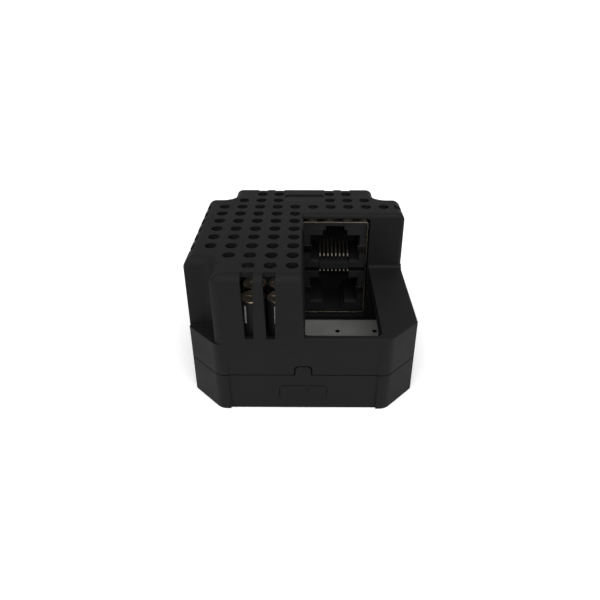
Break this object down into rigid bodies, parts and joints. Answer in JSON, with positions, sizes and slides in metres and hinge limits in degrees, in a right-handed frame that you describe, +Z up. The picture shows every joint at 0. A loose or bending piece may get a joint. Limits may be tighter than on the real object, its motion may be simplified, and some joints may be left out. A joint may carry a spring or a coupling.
{
  "type": "mesh wifi node",
  "caption": "Compact octagonal vented network node with corner notches and a stacked pair of shielded network sockets at the back of an open well.",
  "frame": {"origin": "centre of the case's flat underside", "axes": "+Z up out of the vented top, -Y the front that the sockets and the name plaque face, +X to the right seen from the front"},
  "size_m": [0.0492, 0.0492, 0.0332],
  "materials": {
    "moulded_black": "fine spark-eroded texture, moulded",
    "black_screw_steel": "black oxide",
    "pale_board": "pale grey solder mask over glass-fibre laminate",
    "green_board": "green solder mask over glass-fibre laminate",
    "brass_pillar": "turned",
    "zinc_steel": "zinc plated",
    "black_nylon": "moulded, satin",
    "nickel_sheet": "nickel-plated copper alloy sheet, stamped and folded",
    "gold_contact": "gold-flashed spring wire",
    "bare_aluminium": "drawn, satin",
    "shrink_sleeve": "heat-shrunk film",
    "ferrite": "sintered, ground faces",
    "winding_tape": "polyester tape over enamelled wire",
    "chip_epoxy": "transfer-moulded epoxy",
    "chip_ceramic": "fired ceramic with tinned ends",
    "silicone_pad": "soft filled silicone",
    "black_anodised": "extruded, black anodised",
    "lead_jacket": "extruded fluoropolymer",
    "white_nylon": "moulded",
    "clear_acrylic": "moulded, polished"
  },
  "bodies": {
    "case": {"top_shell": "moulded_black", "base_cover": "moulded_black", "case_screws": "black_screw_steel", "main_board": "pale_board", "power_board": "green_board", "board_spacers": "brass_pillar", "spacer_screws": "zinc_steel", "board_header": "black_nylon", "header_socket": "black_nylon", "jack_shield": "nickel_sheet", "jack_insert_upper": "black_nylon", "jack_insert_lower": "black_nylon", "jack_carrier": "black_nylon", "jack_contacts_upper": "gold_contact", "jack_contacts_lower": "gold_contact", "jack_ground_springs": "nickel_sheet", "capacitor_cans": "bare_aluminium", "capacitor_sleeves": "shrink_sleeve", "transformer_core": "ferrite", "transformer_bobbin": "black_nylon", "transformer_winding": "winding_tape", "power_choke": "ferrite", "power_chips": "chip_epoxy", "processor": "chip_epoxy", "thermal_pad": "silicone_pad", "heat_sink": "black_anodised", "radio_can": "nickel_sheet", "radio_chips": "chip_epoxy", "memory_chips": "chip_epoxy", "crystal": "nickel_sheet", "line_magnetics": "chip_epoxy", "small_parts": "chip_ceramic", "aerial_sockets": "gold_contact", "aerial_plugs": "gold_contact", "side_aerial": "green_board", "back_aerial": "green_board", "side_aerial_lead": "lead_jacket", "back_aerial_lead": "lead_jacket", "reset_switch_body": "black_nylon", "status_lamp": "white_nylon", "light_pipe": "clear_acrylic"},
    "reset_key": {"reset_plunger": "white_nylon"}
  },
  "joints": [
    {"name": "reset_press", "type": "slide", "parent": "case", "child": "reset_key", "axis": [0, -1, 0], "range_m": [0, 0.00025], "stiffness_N_per_m": 2000}
  ]
}
